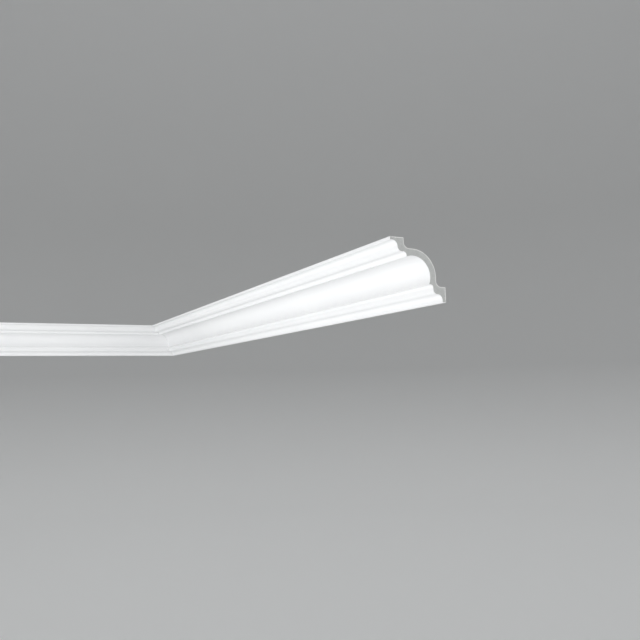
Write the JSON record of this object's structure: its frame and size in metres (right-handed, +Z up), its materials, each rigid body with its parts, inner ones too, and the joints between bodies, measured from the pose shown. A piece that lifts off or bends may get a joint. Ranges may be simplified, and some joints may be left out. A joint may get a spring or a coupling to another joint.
{
  "type": "crown moulding length",
  "caption": "Hollow-backed white cove crown moulding: a long length mitred to a short return for an inside corner, both square cut at their free ends.",
  "frame": {"origin": "middle of the long length's flat face against its wall, halfway along it from the room's corner to the square cut", "axes": "+X along the long length towards its square cut, +Y into the long wall, +Z up to the ceiling"},
  "size_m": [1.12, 0.45, 0.0701],
  "materials": {
    "moulding": "matt white factory primer over a hard grey-white foam, with bare sawn ends"
  },
  "bodies": {
    "root": {"long_length": "moulding", "short_length": "moulding"}
  },
  "joints": []
}
